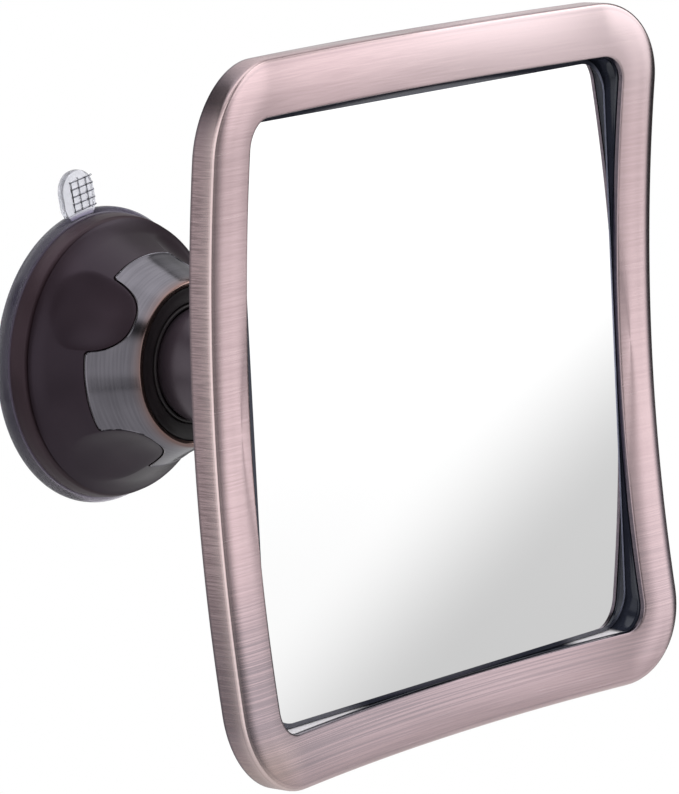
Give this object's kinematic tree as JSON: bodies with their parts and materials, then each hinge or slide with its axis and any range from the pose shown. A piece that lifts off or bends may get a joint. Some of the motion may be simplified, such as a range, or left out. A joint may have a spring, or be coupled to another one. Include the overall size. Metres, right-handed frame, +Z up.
{
  "type": "shower mirror",
  "caption": "Square framed shower mirror on a ball joint, held on a flat wall by a twist-lock suction base with a pull tab.",
  "frame": {"origin": "centre of the suction disc's flat face on the wall", "axes": "-Y out of the wall along the common axis of base, arm and head, towards the viewer; +Z up; +X to the viewer's right"},
  "size_m": [0.195, 0.1408, 0.203],
  "materials": {
    "clear_vinyl": "clear soft vinyl, glossy",
    "dark_plastic": "dark brown moulded plastic, satin",
    "black_plastic": "black moulded plastic, glossy",
    "gunmetal": "dark gunmetal plating, polished",
    "rose_copper": "brushed and tinted rose copper",
    "mirror_glass": "silvered glass",
    "steel": "zinc plated steel",
    "brass": "turned brass",
    "nylon": "white nylon",
    "board": "grey moulded board",
    "foam_tape": "white foam tape"
  },
  "bodies": {
    "base": {"suction_disc": "clear_vinyl", "base_housing": "dark_plastic", "thrust_washer": "nylon", "dish": "black_plastic", "dust_ring": "black_plastic", "ball_stud": "steel", "socket_screw_1": "steel", "socket_screw_2": "steel", "socket_screw_3": "steel", "return_spring": "steel"},
    "knob": {"twist_knob": "dark_plastic", "crown": "gunmetal"},
    "stud": {"draw_stud": "brass", "cross_pin": "steel"},
    "seat": {"ball_seat": "nylon"},
    "arm": {"ball_housing": "dark_plastic", "housing_ring": "dark_plastic", "arm": "gunmetal", "arm_screw": "steel", "friction_washer": "nylon", "spring_washer": "steel", "swivel_screw": "steel"},
    "head": {"back_mount": "black_plastic", "mount_screw_1": "steel", "mount_screw_2": "steel", "mount_screw_3": "steel", "mount_screw_4": "steel", "back_cover": "black_plastic", "cover_screw_1": "steel", "cover_screw_2": "steel", "cover_screw_3": "steel", "cover_screw_4": "steel", "backing_board": "board", "pane_tape_1": "foam_tape", "pane_tape_2": "foam_tape", "pane_tape_3": "foam_tape", "mirror_pane": "mirror_glass", "liner": "black_plastic", "bezel": "rose_copper"}
  },
  "joints": [
    {"name": "knob_turn", "type": "hinge", "parent": "base", "child": "knob", "pos_m": [0, 0, 0], "axis": [0, 1, 0], "range_deg": [0, 90]},
    {"name": "stud_draw", "type": "slide", "parent": "base", "child": "stud", "axis": [0, -1, 0], "range_m": [0, 0.003], "deforming": ["suction_disc", "return_spring"]},
    {"name": "head_pan", "type": "hinge", "parent": "base", "child": "seat", "pos_m": [0, -0.0466, 0], "axis": [0, 0, 1], "range_deg": [-20, 20]},
    {"name": "head_tilt", "type": "hinge", "parent": "seat", "child": "arm", "pos_m": [0, -0.0466, 0], "axis": [1, 0, 0], "range_deg": [-20, 20]},
    {"name": "head_spin", "type": "hinge", "parent": "arm", "child": "head", "pos_m": [0, -0.1068, 0], "axis": [0, 1, 0], "continuous": true}
  ],
  "couplings": [
    {"joint": "stud_draw", "follows": "knob_turn", "m_per_rad": 0.0019099}
  ]
}
